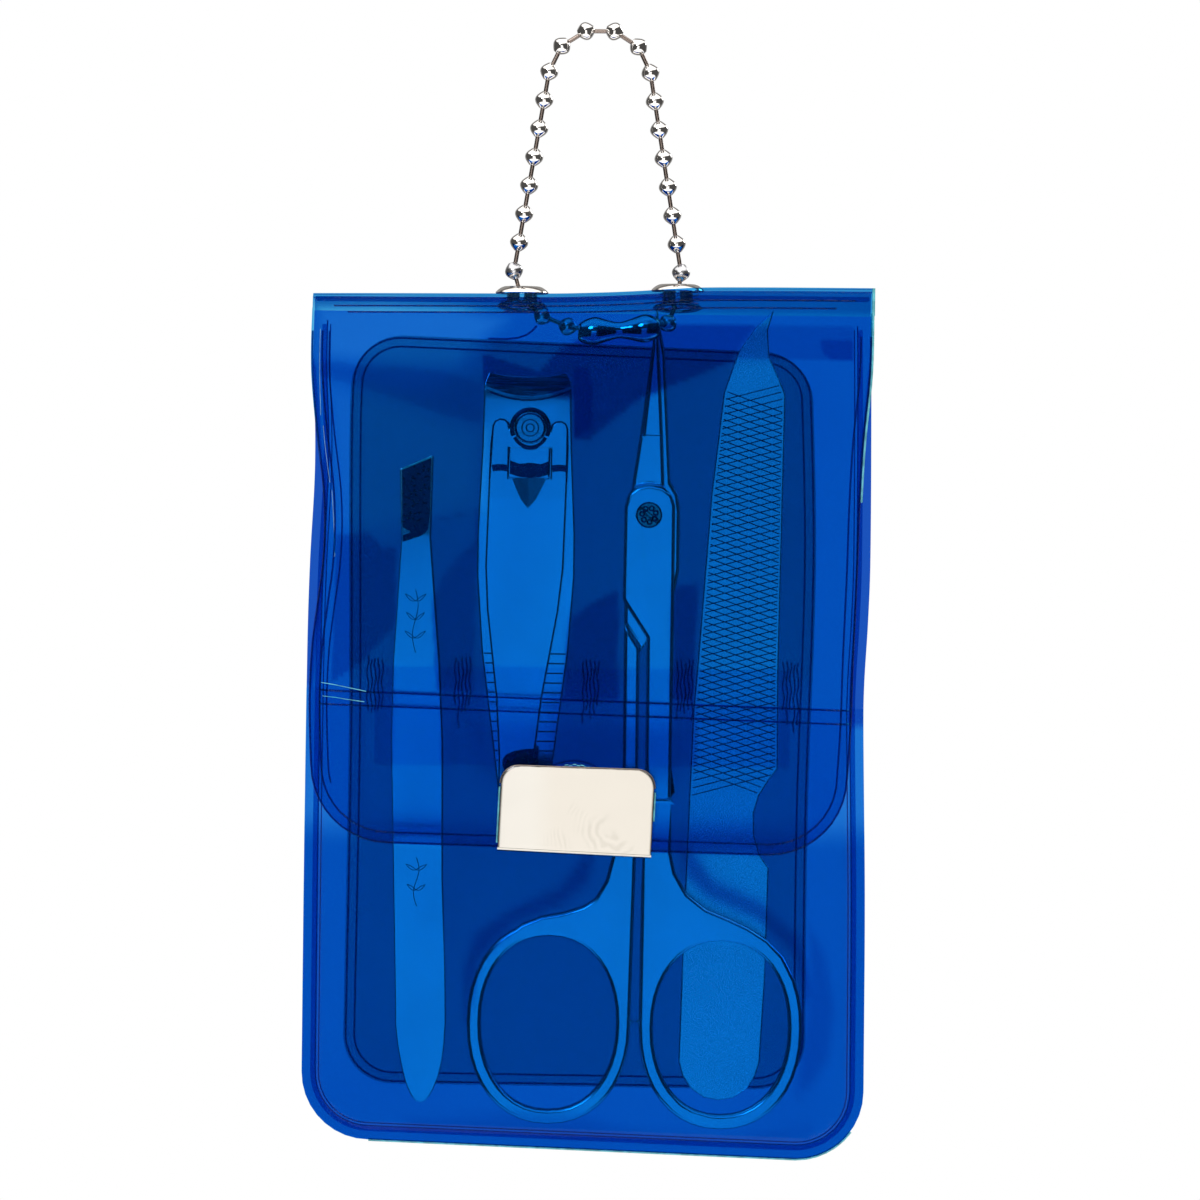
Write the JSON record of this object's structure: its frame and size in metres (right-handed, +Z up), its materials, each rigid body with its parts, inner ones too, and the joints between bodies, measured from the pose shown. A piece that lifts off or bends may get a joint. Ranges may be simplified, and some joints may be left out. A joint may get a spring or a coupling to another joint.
{
  "type": "manicure set case",
  "caption": "Tinted film snap pouch on a ball chain, holding slant tweezers, a nail clipper, nail scissors and a nail file.",
  "frame": {"origin": "middle of the top fold's upper surface, between the two chain eyelets", "axes": "+Z up as the case hangs, -Y towards the flap's face, +X to the right seen from the front"},
  "size_m": [0.0646, 0.0105, 0.1304],
  "materials": {
    "vinyl_film": "clear tinted film, glossy and slightly wavy",
    "ball_chain": "nickel plated, bright",
    "eyelet_metal": "nickel plated, bright",
    "snap_metal": "nickel plated",
    "clasp_plate": "polished sheet with faint ripples and finger marks",
    "tool_steel": "polished steel",
    "file_steel": "cross-cut file face, satin"
  },
  "bodies": {
    "case": {"back_panel": "vinyl_film", "top_fold": "vinyl_film", "fold_strip": "vinyl_film", "inner_card": "vinyl_film", "tool_band": "vinyl_film", "front_pocket": "vinyl_film", "eyelets": "eyelet_metal", "eyelet_washers": "eyelet_metal", "snap_socket": "snap_metal", "snap_cap": "snap_metal", "chain_inner_beads": "ball_chain", "chain_inner_links": "ball_chain", "chain_coupler": "ball_chain"},
    "flap": {"flap": "vinyl_film", "clasp_plate": "clasp_plate", "snap_stud": "snap_metal"},
    "chain_lower": {"chain_lower_beads": "ball_chain", "chain_lower_links": "ball_chain"},
    "chain_upper": {"chain_upper_beads": "ball_chain", "chain_upper_links": "ball_chain"},
    "tweezers": {"tweezers_rear_arm": "tool_steel"},
    "tweezers_front": {"tweezers_front_arm": "tool_steel"},
    "clipper": {"clipper_lower_arm": "tool_steel", "clipper_pin": "tool_steel", "clipper_rivet": "tool_steel"},
    "clipper_jaw": {"clipper_upper_arm": "tool_steel"},
    "clipper_lever": {"clipper_lever": "tool_steel"},
    "scissors": {"scissors_front_half": "tool_steel", "scissors_screw": "tool_steel"},
    "scissors_rear": {"scissors_rear_half": "tool_steel"},
    "file": {"nail_file": "file_steel"}
  },
  "joints": [
    {"name": "case_flap", "type": "hinge", "parent": "case", "child": "flap", "pos_m": [0, -0.00515, -0.0024], "axis": [-1, 0, 0], "range_deg": [0, 175], "stiffness_Nm_per_rad": 0.0003},
    {"name": "chain_swing", "type": "hinge", "parent": "case", "child": "chain_lower", "pos_m": [0.00055, 0, 0.0022], "axis": [-1, 0, 0], "range_deg": [-80, 80]},
    {"name": "chain_bend", "type": "hinge", "parent": "chain_lower", "child": "chain_upper", "pos_m": [0.00055, 0, 0.01204], "axis": [-1, 0, 0], "range_deg": [-85, 85]},
    {"name": "tweezers_slide", "type": "slide", "parent": "case", "child": "tweezers", "axis": [0, 0, 1], "range_m": [-0.003, 0.015]},
    {"name": "tweezers_squeeze", "type": "hinge", "parent": "tweezers", "child": "tweezers_front", "pos_m": [-0.019, 0.0031, -0.08], "axis": [-1, 0, 0], "range_deg": [0, 1.3], "stiffness_Nm_per_rad": 1},
    {"name": "clipper_slide", "type": "slide", "parent": "case", "child": "clipper", "axis": [0, 0, 1], "range_m": [-0.008, 0.003]},
    {"name": "clipper_jaw", "type": "hinge", "parent": "clipper", "child": "clipper_jaw", "pos_m": [-0.0073, 0.0029, -0.057], "axis": [-1, 0, 0], "range_deg": [0, 1.5], "stiffness_Nm_per_rad": 1},
    {"name": "clipper_lever", "type": "hinge", "parent": "clipper", "child": "clipper_lever", "pos_m": [-0.00695, 0, -0.0159], "axis": [0, 1, 0], "range_deg": [-3.5, 3.5]},
    {"name": "scissors_slide", "type": "slide", "parent": "case", "child": "scissors", "axis": [0, 0, 1], "range_m": [-0.0008, 0.0003]},
    {"name": "scissors_open", "type": "hinge", "parent": "scissors", "child": "scissors_rear", "pos_m": [0.0068, 0, -0.0257], "axis": [0, 1, 0], "range_deg": [0, 2]},
    {"name": "file_slide", "type": "slide", "parent": "case", "child": "file", "axis": [0, 0, 1], "range_m": [-0.004, 0.0007]}
  ]
}
